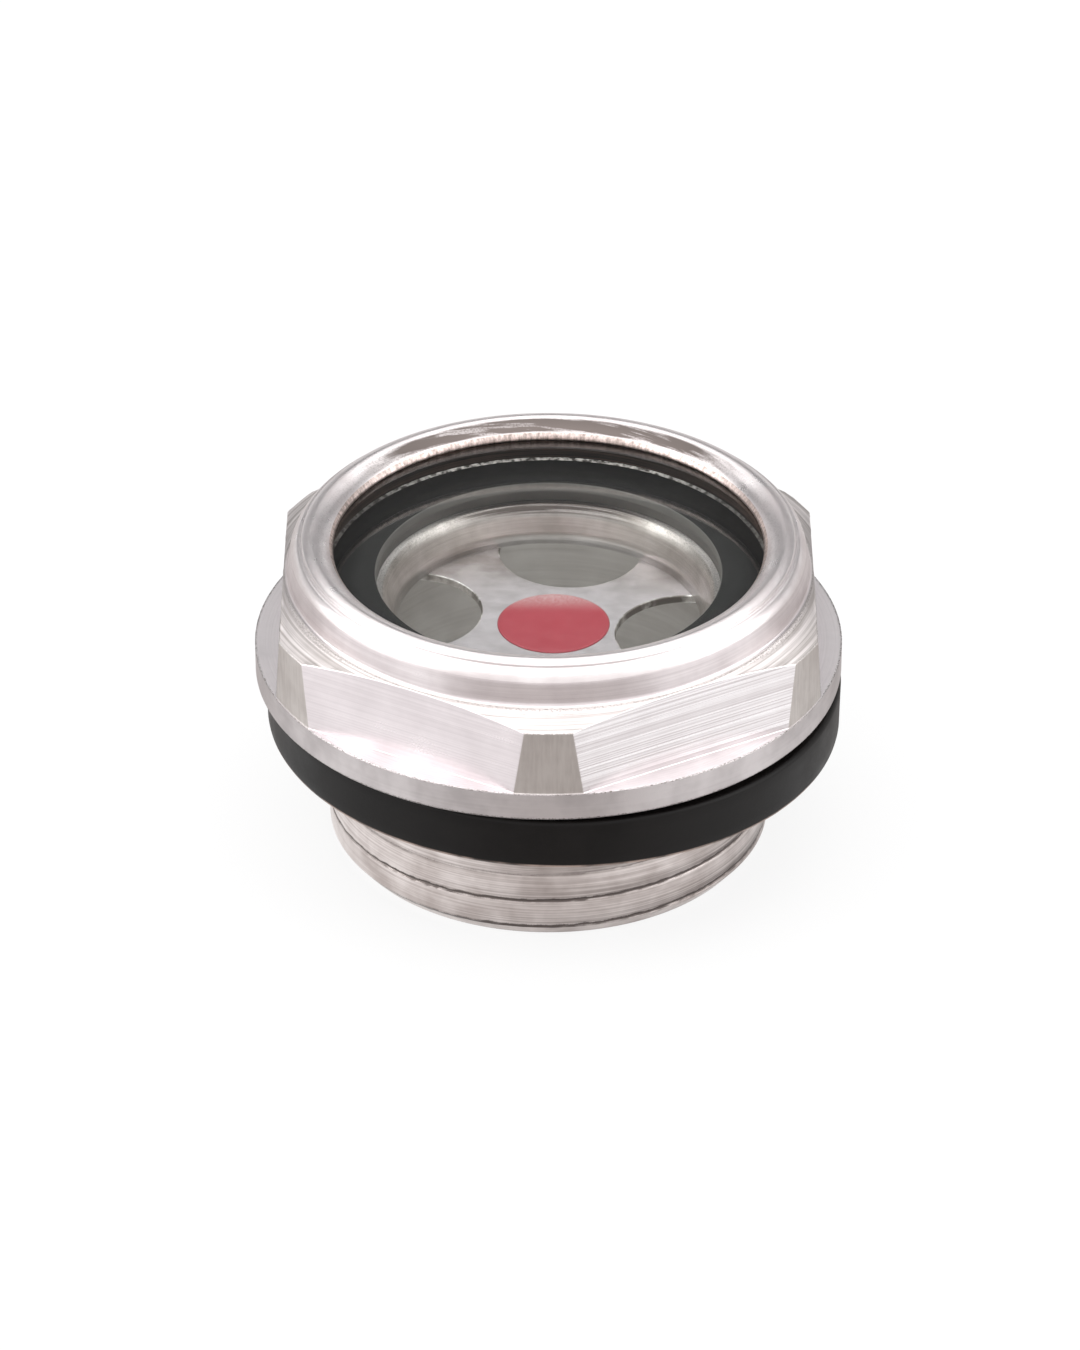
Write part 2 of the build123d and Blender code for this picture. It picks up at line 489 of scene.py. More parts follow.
# The spigot's end, its thread and its relief.
ring(mouth_bore_r + mouth_chamfer, 0, "turned")
ring(end_face_r, 0, "turned")
thread_rows = round(relief_z / thread_step)
for i in range(thread_rows + 1):
    thread_row(relief_z * i / thread_rows)
ring(relief_r, seal_z - edge_hold, "turned")

# The flange and the ledge round the hexagon's foot.
ring(relief_r, seal_z, "turned")
ring(flange_r - flange_edge - seal_hold, seal_z, "turned")
ring(flange_r - flange_edge, seal_z, "flange")
ring(flange_r, seal_z + flange_edge, "flange", grime=flange_grime)
ring(flange_r, seal_z + flange_edge + flange_hold, "flange")
for share in (0.35, 0.7):
    ring(flange_r, seal_z + share * (flange_top_z - seal_z), "flange")
ring(flange_r, flange_top_z - edge_hold, "flange")
ring(flange_r, flange_top_z, "ledge", grime=ledge_grime)
ledge_row(ledge_outer_gap, least_r=flange_r - ledge_hold)
ledge_row(ledge_inner_gap)

# The hexagon and its crown.
# Painted shade: dark specks in the creases at the flats' foot and at the neck's foot.
side_row(0.0, grime=flat_foot_grime)
for share in (0.02, 0.2, 0.4, 0.6, 0.8, 0.98):
    side_row(share)
# The flats' top edge: raised burrs, whose near-white colour is a painted highlight.
side_row(1.0, "crown", burr=1.0)
for share in (0.05, 0.35, 0.7):
    crown_row(share)
crown_row(1.0, grime=neck_foot_grime)

# The neck, the lip's outside with its groove, and the roll in over the window. The roll's
# first rows carry dark specks and, at the back, painted shade, and its last rows are the rough nose.
neck = bulged(crown_foot, neck_foot, neck_foot_bulge, neck_rows)
neck += bulged(neck_foot, (neck_top_r, glass_top_z), 0.0, neck_rows)
for radius, height in neck:
    ring(radius, height, "neck", top_half)
lip = bulged(neck[-1], on_lip(shoulder_end_deg), shoulder_bulge, shoulder_rows)
lip += [on_lip(angle, inset) for angle, inset in lip_groove]
lip_arc = 90 - lip_arc_start_deg
lip += [on_lip(lip_arc_start_deg + lip_arc * i / lip_arc_rows) for i in range(lip_arc_rows + 1)]
roll = bulged((crest_r, crest_z), (lip_opening_r, glass_top_z + nose_drop), lip_inner_bulge, roll_rows)
for radius, height in lip + roll[:stained_roll.start]:
    ring(radius, height, "lip", top_half)
for radius, height in roll[stained_roll]:
    ring(radius, height, "lip", top_half,
         grime=lambda turn: lip_grime + lip_back_grime * behind(turn, lip_back_deg),
         stain=lambda turn: lip_back_stain * behind(turn, lip_back_deg))
for radius, height in roll[stained_roll.stop:]:
    ring(radius, height, "nose", top_half)

# Down the inside: the window's seat, the well's rim, the well, the plate's recess with the
# ridge that is staked under the plate, and the bore.
for radius, height, finish in (
        (lip_opening_r + nose_round, glass_top_z + nose_round, "nose"),
        (lip_opening_r + nose_drop, glass_top_z, "turned"),
        (seat_r, glass_top_z, "turned"),
        (seat_r, ledge_z, "turned")):
    ring(radius, height, finish, top_half)
# Painted shade: dark specks all round the well's rim and dark streaks at its back break up its highlight.
for radius, height in ((well_top_r + well_rim_width, ledge_z), (well_top_r, ledge_z - well_rim_drop)):
    ring(radius, height, "well", top_half, grime=well_rim_grime,
         stain=lambda turn: well_back_stain * behind(turn, well_back_deg))
for inward, down in well_taper:
    ring(well_top_r - inward, ledge_z - down, "well", top_half)
for radius, height, finish in (
        (well_floor_r, plate_top_z, "turned"),
        (mouth_bore_r, plate_top_z, "turned"),
        (mouth_bore_r, plate_floor_z, "turned"),
        (mouth_bore_r - staked_ridge, plate_floor_z, "turned"),
        (mouth_bore_r, plate_floor_z - staked_ridge_height, "bore"),
        (mouth_bore_r, mouth_chamfer, "turned")):
    ring(radius, height, finish, top_half)


# The patterns: clouds of tone 2.6 mm across, and how far the gloss strays to either side.
cloud_mm = 2.6
gloss_spread = 0.07


def turning_lines(spacing, wander=1.2):
    """Rings left by a turning tool, spacing mm apart, which change slowly round the axis."""
    def vector(tree):
        place = add(tree, "ShaderNodeTexCoord").outputs["Object"]
        flat = add(tree, "ShaderNodeVectorMath", {0: place, 1: (1, 1, 0)}, operation="MULTIPLY").outputs[0]
        reach = add(tree, "ShaderNodeVectorMath", {0: flat}, operation="LENGTH").outputs["Value"]
        way = add(tree, "ShaderNodeVectorMath", {0: flat}, operation="NORMALIZE").outputs[0]
        slow = add(tree, "ShaderNodeVectorMath", {0: way, "Scale": wander}, operation="SCALE").outputs[0]
        height = add(tree, "ShaderNodeSeparateXYZ", {"Vector": place}).outputs["Z"]
        across, upward = [
            add(tree, "ShaderNodeMath", {0: run, 1: 1 / (spacing * MM)}, operation="MULTIPLY").outputs[0]
            for run in (reach, height)]
        fast = add(tree, "ShaderNodeCombineXYZ", {"X": across, "Z": upward}).outputs[0]
        return add(tree, "ShaderNodeVectorMath", {0: slow, 1: fast}, operation="ADD").outputs[0]
    return vector


def straight_lines(x_per_mm, y_per_mm, z_per_mm):
    """Straight lines, with so many changes of tone to the mm along each axis."""
    def vector(tree):
        place = add(tree, "ShaderNodeTexCoord").outputs["Object"]
        return add(tree, "ShaderNodeVectorMath", {
            0: place, 1: (x_per_mm / MM, y_per_mm / MM, z_per_mm / MM)}, operation="MULTIPLY").outputs[0]
    return vector


def edge_marks(tree, tone, patterns):
    """Dark specks of grime and painted shade, streaks of painted shade and pale burrs, where marked."""
    streak = add(tree, "ShaderNodeMapRange", {
        "Value": patterns["line"], "From Min": 0.4, "From Max": 0.58, "To Min": 1.0, "To Max": 0.4})
    speck = add(tree, "ShaderNodeMapRange", {
        "Value": patterns["grain"], "From Min": 0.49, "From Max": 0.58, "To Min": 0.0, "To Max": 1.0})
    # Specks are grime on the flange's edges and painted shade in creases, the groove and the well's rim;
    # streaks are painted shade; the burrs' pale colour is a painted highlight.
    for mark, pattern, colour in (
            ("grime", speck, "#5A504A"), ("stain", streak, "#69615E"), ("burr", speck, "#FFFAF8")):
        amount = add(tree, "ShaderNodeAttribute", attribute_name=mark).outputs["Fac"]
        share = add(tree, "ShaderNodeMath", {
            0: amount, 1: pattern.outputs[0]}, operation="MULTIPLY").outputs[0]
        tone = add(tree, "ShaderNodeMix", {0: share, 6: tone, 7: linear(colour)}, data_type="RGBA").outputs[2]
    return tone


def metal(name, bright, dull, lines, roughness, line_depth, grain_depth, grain_mm,
          contrast=0.12, line_share=0.5, coat=edge_marks):
    """Aluminium whose tone, gloss and relief follow the tool's lines, a cloud and a fine grain.

    line_share is how much of the pattern is lines rather than cloud, and a smaller contrast
    turns from dull to bright more sharply. Depths and grain are in mm. coat lays marks and
    painted shade over the tone."""
    material = blank_material(name)
    tree = material.node_tree
    vector = lines(tree)
    line = add(tree, "ShaderNodeTexNoise", {
        "Vector": vector, "Scale": 1.0, "Detail": 3.0, "Roughness": 0.6}).outputs["Fac"]
    place = add(tree, "ShaderNodeTexCoord").outputs["Object"]
    grain = add(tree, "ShaderNodeTexNoise", {
        "Vector": place, "Scale": 1 / (grain_mm * MM), "Detail": 3.0, "Roughness": 0.65}).outputs["Fac"]
    cloud = add(tree, "ShaderNodeTexNoise", {
        "Vector": place, "Scale": 1 / (cloud_mm * MM), "Detail": 3.0, "Roughness": 0.55}).outputs["Fac"]
    both = add(tree, "ShaderNodeMix", {0: 1 - line_share, 2: line, 3: cloud}).outputs[0]
    spread = add(tree, "ShaderNodeMapRange", {
        "Value": both, "From Min": 0.5 - contrast, "From Max": 0.5 + contrast, "To Min": 0.0, "To Max": 1.0})
    tone = add(tree, "ShaderNodeMix", {
        0: spread.outputs[0], 6: linear(dull), 7: linear(bright)}, data_type="RGBA").outputs[2]
    if coat:
        tone = coat(tree, tone, {"line": line, "grain": grain, "cloud": cloud})
    gloss = add(tree, "ShaderNodeMapRange", {
        "Value": both, "From Min": 0.3, "From Max": 0.7,
        "To Min": roughness + gloss_spread, "To Max": roughness - gloss_spread}).outputs[0]
    relief = add(tree, "ShaderNodeBump", {"Height": line, "Distance": line_depth * MM, "Strength": 1.0})
    relief = add(tree, "ShaderNodeBump", {
        "Height": grain, "Distance": grain_depth * MM, "Strength": 1.0, "Normal": relief.outputs[0]})
    shader = add(tree, "ShaderNodeBsdfPrincipled", {
        "Base Color": tone, "Metallic": 1.0, "Roughness": gloss, "Normal": relief.outputs[0]})
    return finish_material(material, shader.outputs[0])


# A material for each finish of the rows. Tool lines are 0.08 to 0.2 mm apart, a usual feed, but
# those of the lip and the bore are drawn coarser, at 0.35 and 0.3 mm.
milling_lines = straight_lines(0.03, 0.03, 12.0)
drawn_lines = straight_lines(5.0, 5.0, 0.5)
body_finishes = {
    # Thread as the die left it: a warm pale grey with fine rings, with painted shade in the groove.
    "thread": metal("cut_thread_aluminium", "#E8DFDC", "#B8ADA9", turning_lines(0.11), roughness=0.34,
                    line_depth=0.006, grain_depth=0.003, grain_mm=0.09),
    # Plain turning: light satin with faint rings, on the end, the relief and the seat.
    "turned": metal("turned_aluminium", "#E8E2E0", "#CFC8C5", turning_lines(0.12), roughness=0.34,
                    line_depth=0.006, grain_depth=0.003, grain_mm=0.09),
    # The bar's round, skimmed: a duller, even grey that lets the flange's rim read as one band.
    "flange": metal("turned_bar_aluminium", "#CCC6C6", "#B6B0B0", turning_lines(0.2), roughness=0.44,
                    line_depth=0.003, grain_depth=0.008, grain_mm=0.1, line_share=0.2),
    # The ledge at the flats' foot: matt and pale, between the rim and the bright flats.
    "ledge": metal("ledge_aluminium", "#E2DDDE", "#D3CECF", turning_lines(0.12), roughness=0.42,
                   line_depth=0.005, grain_depth=0.004, grain_mm=0.09),
    # Milled flats: near white, with long level lines that the cutter left.
    "side": metal("milled_aluminium", "#FAF6F7", "#D2CBCC", milling_lines, roughness=0.3,
                  line_depth=0.006, grain_depth=0.003, grain_mm=0.1, contrast=0.11, line_share=0.85),
    # Every other flat is cut finer: greyer and smoother, with barely any lines.
    "fine_side": metal("fine_milled_aluminium", "#E9E1E3", "#D9D1D3", milling_lines, roughness=0.32,
                       line_depth=0.003, grain_depth=0.003, grain_mm=0.1),
    # The bar's drawn skin at the corners: a dull mid grey strip between two bright flats.
    "corner": metal("drawn_bar_aluminium", "#CEC8C4", "#BAB3AF", drawn_lines, roughness=0.42,
                    line_depth=0.003, grain_depth=0.006, grain_mm=0.12, line_share=0.4),
    # The crown, turned with a pointed tool: clear rings of light and dark.
    "crown": metal("crown_aluminium", "#EBE4E3", "#B4ADAA", turning_lines(0.16), roughness=0.36,
                   line_depth=0.003, grain_depth=0.003, grain_mm=0.09, contrast=0.11, line_share=0.85),
    # The lip, burnished by the roller: the whitest and smoothest band, a little mottled.
    "lip": metal("rolled_lip_aluminium", "#F3EDED", "#DED6D6", turning_lines(0.35, wander=4.0),
                 roughness=0.32, line_depth=0.005, grain_depth=0.01, grain_mm=0.11, line_share=0.35),
    # The lip's inner nose, crushed by the roller: short brownish streaks across it.
    "nose": metal("rolled_nose_aluminium", "#EBDAD4", "#A2948E", drawn_lines, roughness=0.36,
                  line_depth=0.006, grain_depth=0.01, grain_mm=0.13, contrast=0.13, line_share=0.8),
    # The tapered well: rings that catch the light through the glass.
    "well": metal("well_aluminium", "#F0E9E6", "#C9C1BC", turning_lines(0.11), roughness=0.34,
                  line_depth=0.01, grain_depth=0.004, grain_mm=0.1, line_share=0.35),
    # The bore: an even dull grey, seen through the plate's bites.
    "bore": metal("bored_aluminium", "#D5D0CB", "#C7C1BC", turning_lines(0.3), roughness=0.46,
                  line_depth=0.002, grain_depth=0.004, grain_mm=0.12),
    # The neck: satin, a shade greyer than the lip above it.
    "neck": metal("turned_neck_aluminium", "#E9E1E2", "#CFC6C7", turning_lines(0.2), roughness=0.32,
                  line_depth=0.004, grain_depth=0.006, grain_mm=0.11),
}

# The mesh: rows are joined one to the next, and the last to the first.
finish_slots = {finish: slot for slot, finish in enumerate(body_finishes)}
vertices, faces, face_slots = [], [], []
mark_values = {"burr": [], "grime": [], "stain": []}
for points, finish, burr, grime, stain in rows:
    for turn, (radius, height) in points:
        rough = 0.0
        if burr:
            spot = Vector((radius * math.cos(turn), radius * math.sin(turn), burr_plane))
            rough = burr_height * max(0.0, noise.noise(spot * burr_detail))
        vertices.append(((radius + rough) * math.cos(turn) * MM, (radius + rough) * math.sin(turn) * MM,
                         (height + rough) * MM))
        for values, mark in zip(mark_values.values(), (burr, grime, stain)):
            values.append(mark(turn) if callable(mark) else mark)
sixth_columns = len(columns(top_half))
column_count = 6 * sixth_columns
for row in range(len(rows)):
    following = (row + 1) % len(rows)
    for column in range(column_count):
        after = (column + 1) % column_count
        faces.append((row * column_count + column, row * column_count + after,
                      following * column_count + after, following * column_count + column))
        finish = rows[row][1]
        if finish == "side":
            sixth, local = divmod(column, sixth_columns)
            if not corner_columns <= local < sixth_columns - corner_columns:
                finish = "corner"
            elif sixth % 2:
                finish = "fine_side"
        face_slots.append(finish_slots[finish])

body_mesh = bpy.data.meshes.new("turned_body")
body_mesh.from_pydata(vertices, [], faces)
for name, values in mark_values.items():
    mark = body_mesh.attributes.new(name, "FLOAT", "POINT")
    mark.data.foreach_set("value", values)
body_mesh.polygons.foreach_set("material_index", face_slots)
body_mesh.polygons.foreach_set("use_smooth", [True] * len(faces))
for material in body_finishes.values():
    body_mesh.materials.append(material)
body = bpy.data.objects.new("turned_body", body_mesh)
bpy.context.scene.collection.objects.link(body)
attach(body, "root")
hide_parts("body")

# ---- Reflector plate: a stamped aluminium disc staked behind the window ----
# Four round bites in its rim let the oil through. Its face is etched matt, so that it
# shows an even pale grey against the oil.
plate_r = 10.7
bite_r = 4.3
bite_centre_r = 8.4
bite_steps = 48
rim_steps = 12
plate_turn_deg = -9.0
plate_edge = 0.08
plate_edge_deg = 50
# Painted shade: a patchy brownish tone that darkens the plate towards its far side.
plate_shade_colour = "#8F8580"
plate_shade_share = 0.75
plate_shade_fade = (2.2 * MM, 6.0 * MM)


def heading_point(angle_deg, reach):
    """A point on the plate, by its direction from the axis and its distance."""
    return Vector((math.cos(math.radians(angle_deg)), math.sin(math.radians(angle_deg)))) * reach


meet = (plate_r ** 2 + bite_centre_r ** 2 - bite_r ** 2) / (2 * plate_r * bite_centre_r)
bite_half = math.degrees(math.acos(meet))
rim_sweep = 90 - 2 * bite_half
outline = []
for quarter in range(4):
    heading = 90 * quarter + plate_turn_deg
    centre = heading_point(heading, bite_centre_r)
    first = heading_point(heading - bite_half, plate_r)
    start = (math.degrees(math.atan2(first.y - centre.y, first.x - centre.x)) - heading) % 360
    for i in range(bite_steps + 1):
        angle = math.radians(heading + start - (2 * start - 360) * i / bite_steps)
        outline.append((centre.x + bite_r * math.cos(angle), centre.y + bite_r * math.sin(angle)))
    for i in range(1, rim_steps):
        outline.append(tuple(heading_point(heading + bite_half + rim_sweep * i / rim_steps, plate_r)))

plate_low, plate_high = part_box("reflector_plate")
count = len(outline)
plate_mesh = bpy.data.meshes.new("reflector")
plate_mesh.from_pydata(
    [(x * MM, y * MM, z) for z in (plate_low[2], plate_high[2]) for x, y in outline], [],
    [tuple(range(count - 1, -1, -1)), tuple(range(count, 2 * count))]
    + [(i, (i + 1) % count, count + (i + 1) % count, count + i) for i in range(count)])
plate_mesh.polygons.foreach_set("material_index", [0, 0] + [1] * count)
plate = bpy.data.objects.new("reflector", plate_mesh)
bpy.context.scene.collection.objects.link(plate)
rounding = plate.modifiers.new("stamped_edge", "BEVEL")
rounding.width = plate_edge * MM
rounding.segments = 2
rounding.material = 1
rounding.limit_method = "ANGLE"
rounding.angle_limit = math.radians(plate_edge_deg)


def far_side_shade(tree, tone, patterns):
    """Patchy, brownish painted shade that dulls the plate towards its far side."""
    place = add(tree, "ShaderNodeTexCoord").outputs["Object"]
    depth = add(tree, "ShaderNodeSeparateXYZ", {"Vector": place}).outputs["Y"]
    far = add(tree, "ShaderNodeMapRange", {
        "Value": depth, "From Min": plate_shade_fade[0], "From Max": plate_shade_fade[1],
        "To Min": 0.0, "To Max": plate_shade_share}, interpolation_type="SMOOTHSTEP")
    patchy = add(tree, "ShaderNodeMapRange", {
        "Value": patterns["cloud"], "From Min": 0.4, "From Max": 0.58, "To Min": 1.0, "To Max": 0.55})
    share = add(tree, "ShaderNodeMath", {0: far.outputs[0], 1: patchy.outputs[0]}, operation="MULTIPLY")
    return add(tree, "ShaderNodeMix", {
        0: share.outputs[0], 6: tone, 7: linear(plate_shade_colour)}, data_type="RGBA").outputs[2]


# Etched face: matt pale grey without lines, so that the red dot stands out, with painted shade far off.
etched_cloud = straight_lines(0.6, 1.0, 0.6)
plate_mesh.materials.append(metal(
    "etched_aluminium", "#E6DFE3", "#CDC6C9", etched_cloud, roughness=0.5,
    line_depth=0.003, grain_depth=0.006, grain_mm=0.12, coat=far_side_shade))
# Stamped edge: painted bright and dark glints, broken up, that draw the bites' outline.
plate_mesh.materials.append(metal(
    "stamped_edge_aluminium", "#FFFCFA", "#8E8782", etched_cloud, roughness=0.3,
    line_depth=0.004, grain_depth=0.012, grain_mm=0.1, contrast=0.06, coat=None))
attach(plate, "root")
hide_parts("reflector_plate")

# ---- Red dot: a spot of enamel at the middle of the reflector plate ----
# Sprayed through a mask, so it is thin, with a softly rounded rim. Gloss enamel that has
# dulled a little.
dot_low, dot_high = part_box("red_dot")
dot_r = (dot_high[0] - dot_low[0]) / 2 / MM
dot_x, dot_y = (dot_high[0] + dot_low[0]) / 2 / MM, (dot_high[1] + dot_low[1]) / 2 / MM
dot_foot_z, dot_top_z = dot_low[2] / MM, dot_high[2] / MM
dot_segments = 128
enamel_dark = "#B43443"
enamel_light = "#C24E5B"
# A painted glare: the enamel turns pale pink towards its far side.
enamel_glare = "#DDB9BA"
enamel_glare_fade = (0.9 * MM, 3.1 * MM)
enamel_cloud_mm = 0.9
enamel_mist_mm = 0.12
enamel_mist_depth = 0.004


def lathe(name, outline, segments, finish_of=None, shift=(0, 0)):
    """A closed turned form. The outline runs from one point on the axis to the other, or
    in a loop when it stays clear of the axis; finish_of gives each band's material."""
    solid = outline[0][0] == 0
    rings = outline[1:-1] if solid else outline
    vertices, faces, bands = [], [], []
    for radius, height in rings:
        for i in range(segments):
            turn = math.tau * i / segments
            vertices.append(((radius * math.cos(turn) + shift[0]) * MM,
                             (radius * math.sin(turn) + shift[1]) * MM, height * MM))
    spans = len(rings) - 1 if solid else len(rings)
    for row in range(spans):
        following = (row + 1) % len(rings)
        for i in range(segments):
            after = (i + 1) % segments
            faces.append((row * segments + i, row * segments + after,
                          following * segments + after, following * segments + i))
            bands.append(row + 1 if solid else row)
    if solid:
        last_ring = (len(rings) - 1) * segments
        for tip, ring_start, band in ((outline[0], 0, 0), (outline[-1], last_ring, len(rings))):
            centre = len(vertices)
            vertices.append((shift[0] * MM, shift[1] * MM, tip[1] * MM))
            for i in range(segments):
                here, after = ring_start + i, ring_start + (i + 1) % segments
                faces.append((after, here, centre) if band == 0 else (here, after, centre))
                bands.append(band)
    mesh = bpy.data.meshes.new(name)
    mesh.from_pydata(vertices, [], faces)
    mesh.polygons.foreach_set("use_smooth", [True] * len(faces))
    if finish_of:
        mesh.polygons.foreach_set("material_index", [finish_of(band) for band in bands])
    piece = bpy.data.objects.new(name, mesh)
    bpy.context.scene.collection.objects.link(piece)
    return piece


# The rim in section: a small foot, a round, and a shallow slope up to the flat top.
dot = lathe("enamel_dot", [
    (0, dot_foot_z), (dot_r - 0.02, dot_foot_z), (dot_r, dot_foot_z + 0.02),
    (dot_r - 0.06, dot_foot_z + 0.055), (dot_r - 0.2, dot_top_z - 0.008), (dot_r - 0.6, dot_top_z),
    (0, dot_top_z)], dot_segments, shift=(dot_x, dot_y))

# Red enamel: a muted red with faint clouds, and a painted glare that turns it pinkish at the far side.
material = blank_material("red_enamel")
tree = material.node_tree
place = add(tree, "ShaderNodeTexCoord").outputs["Object"]
cloud = add(tree, "ShaderNodeTexNoise", {"Vector": place, "Scale": 1 / (enamel_cloud_mm * MM), "Detail": 4.0})
mist = add(tree, "ShaderNodeTexNoise", {"Vector": place, "Scale": 1 / (enamel_mist_mm * MM), "Detail": 2.0})
tone = add(tree, "ShaderNodeMix", {
    0: cloud.outputs["Fac"], 6: linear(enamel_dark), 7: linear(enamel_light)}, data_type="RGBA")
depth = add(tree, "ShaderNodeSeparateXYZ", {"Vector": place}).outputs["Y"]
far_glare = add(tree, "ShaderNodeMapRange", {
    "Value": depth, "From Min": enamel_glare_fade[0], "From Max": enamel_glare_fade[1],
    "To Min": 0.0, "To Max": 1.0}, interpolation_type="SMOOTHSTEP")
patchy = add(tree, "ShaderNodeMapRange", {
    "Value": mist.outputs["Fac"], "From Min": 0.3, "From Max": 0.7, "To Min": 0.4, "To Max": 1.0})
far_share = add(tree, "ShaderNodeMath", {0: far_glare.outputs[0], 1: patchy.outputs[0]}, operation="MULTIPLY")
tone = add(tree, "ShaderNodeMix", {
    0: far_share.outputs[0], 6: tone.outputs[2], 7: linear(enamel_glare)}, data_type="RGBA")
relief = add(tree, "ShaderNodeBump", {
    "Height": mist.outputs["Fac"], "Distance": enamel_mist_depth * MM, "Strength": 1.0})
gloss = add(tree, "ShaderNodeMapRange", {"Value": cloud.outputs["Fac"], "To Min": 0.25, "To Max": 0.45})
shader = add(tree, "ShaderNodeBsdfPrincipled", {
    "Base Color": tone.outputs[2], "Roughness": gloss.outputs[0], "Normal": relief.outputs[0]})
dot.data.materials.append(finish_material(material, shader.outputs[0]))
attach(dot, "root")
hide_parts("red_dot")

# ---- Window packing: a flat black rubber ring under the glass ----
# Punched from nitrile sheet; the pressed top face looks black through the glass, and the
# cut inner wall carries a painted grey sheen.
ring_low, ring_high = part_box("glass_packing")
packing_r = (ring_high[0] - ring_low[0]) / 2 / MM
packing_bore_r = 10.25
packing_foot_edge = 0.03
packing_top_edge = (0.06, 0.05)
punch_ridge = 0.03
punch_ridge_half = 0.05
punch_ridge_drop = 0.55
packing_clearance = 0.01
round_segments = 256
low, high = ring_low[2] / MM, ring_high[2] / MM - packing_clearance

# The outline runs from the bore's foot outwards and round to the bore's wall, which has a
# slight ridge from the punch. Bands 3 to 7 are the wall and its upper edge.
wall_bands = range(3, 8)
window_packing = lathe("window_packing", [
    (packing_bore_r + packing_foot_edge, low),
    (packing_r, low),
    (packing_r, high),
    (packing_bore_r + packing_top_edge[0], high),
    (packing_bore_r, high - packing_top_edge[1]),
    (packing_bore_r, high - punch_ridge_drop + punch_ridge_half),
    (packing_bore_r - punch_ridge, high - punch_ridge_drop),
    (packing_bore_r, high - punch_ridge_drop - punch_ridge_half),
    (packing_bore_r, low + packing_foot_edge)], round_segments,
    finish_of=lambda band: 1 if band in wall_bands else 0)


# The patterns of rubber: a bloom 3 mm across, and the moulded grain's depth.
bloom_mm = 3.0
rubber_grain_depth = 0.006
rubber_gloss_spread = 0.08


def rubber(name, black, grey, roughness, grain_mm, glint_colour=None, shine=0.3):
    """Nitrile rubber: black with a greyish bloom and a fine moulded grain. The optional colour is
    a painted highlight, laid where the mesh's attribute marks it."""
    material = blank_material(name)
    tree = material.node_tree
    place = add(tree, "ShaderNodeTexCoord").outputs["Object"]
    bloom = add(tree, "ShaderNodeTexNoise", {
        "Vector": place, "Scale": 1 / (bloom_mm * MM), "Detail": 5.0, "Roughness": 0.6}).outputs["Fac"]
    grain = add(tree, "ShaderNodeTexNoise", {"Vector": place, "Scale": 1 / (grain_mm * MM), "Detail": 2.0})
    tone = add(tree, "ShaderNodeMix", {
        0: bloom, 6: linear(black), 7: linear(grey)}, data_type="RGBA").outputs[2]
    if glint_colour:
        edge_glint = add(tree, "ShaderNodeAttribute", attribute_name="edge_glint").outputs["Fac"]
        glint_patches = add(tree, "ShaderNodeMapRange", {
            "Value": bloom, "From Min": 0.36, "From Max": 0.55, "To Min": 0.15, "To Max": 1.0})
        share = add(tree, "ShaderNodeMath", {0: edge_glint, 1: glint_patches.outputs[0]}, operation="MULTIPLY")
        tone = add(tree, "ShaderNodeMix", {
            0: share.outputs[0], 6: tone, 7: linear(glint_colour)}, data_type="RGBA").outputs[2]
    gloss = add(tree, "ShaderNodeMapRange", {
        "Value": bloom, "From Min": 0.3, "From Max": 0.7,
        "To Min": roughness - rubber_gloss_spread, "To Max": roughness + rubber_gloss_spread})
    relief = add(tree, "ShaderNodeBump", {
        "Height": grain.outputs["Fac"], "Distance": rubber_grain_depth * MM, "Strength": 1.0})
    shader = add(tree, "ShaderNodeBsdfPrincipled", {
        "Base Color": tone, "Roughness": gloss.outputs[0], "Specular IOR Level": shine,
        "Normal": relief.outputs[0]})
    return finish_material(material, shader.outputs[0])


# Pressed face: flat black. Cut wall: a soft grey painted sheen under the glass.
window_packing.data.materials.append(rubber("pressed_rubber", "#141212", "#1E1B1B", 0.6, 0.15))
window_packing.data.materials.append(rubber("cut_rubber_painted_sheen", "#5A5654", "#77726F", 0.5, 0.12))
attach(window_packing, "root")
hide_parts("glass_packing")

# ---- Sight glass: a polished soda-lime disc ----
# Both faces are polished. The side is ground, brown from the sealing compound and darkened with
# painted shade; it shows fine lines, and the ground lower edge catches the light.
pane_low, pane_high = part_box("sight_glass")
pane_r = (pane_high[0] - pane_low[0]) / 2 / MM
pane_clearance = 0.01
pane_chamfer = 0.2
glass_ior = 1.5
stain_ring_mm = 0.1
chip_mm = 0.35
pale_back_fade = (8 * MM, 12 * MM)
low, high = pane_low[2] / MM + pane_clearance, pane_high[2] / MM - pane_clearance

# Bands of the outline from below: face, lower edge, side, upper edge, face. Slot 0 is clear,
# slot 1 the dark side (sealing compound and painted shade) and slot 2 ground glass.
band_slots = (0, 2, 1, 1, 0)
glass = lathe("sight_glass_pane", [
    (0, low), (pane_r - pane_chamfer, low), (pane_r, low + pane_chamfer), (pane_r, high - pane_chamfer),
    (pane_r - pane_chamfer, high), (0, high)], round_segments,
    finish_of=lambda band: band_slots[band])
glass.data.polygons.foreach_set("use_smooth", [False] * len(glass.data.polygons))

# Clear glass: bends and mirrors what lies behind it, and lets the lamps' light through.
material = blank_material("clear_glass")
tree = material.node_tree
path = add(tree, "ShaderNodeLightPath")
shader = add(tree, "ShaderNodeBsdfPrincipled", {
    "Base Color": linear("#FBFDFC"), "Roughness": 0.0, "IOR": glass_ior, "Transmission Weight": 1.0})
clear = add(tree, "ShaderNodeBsdfTransparent", {"Color": linear("#F4F8F6")})
soft = add(tree, "ShaderNodeMath", {
    0: path.outputs["Is Shadow Ray"], 1: path.outputs["Is Diffuse Ray"]}, operation="MAXIMUM")
pane = add(tree, "ShaderNodeMixShader", {0: soft.outputs[0], 1: shader.outputs[0], 2: clear.outputs[0]})
glass.data.materials.append(finish_material(material, pane.outputs[0]))

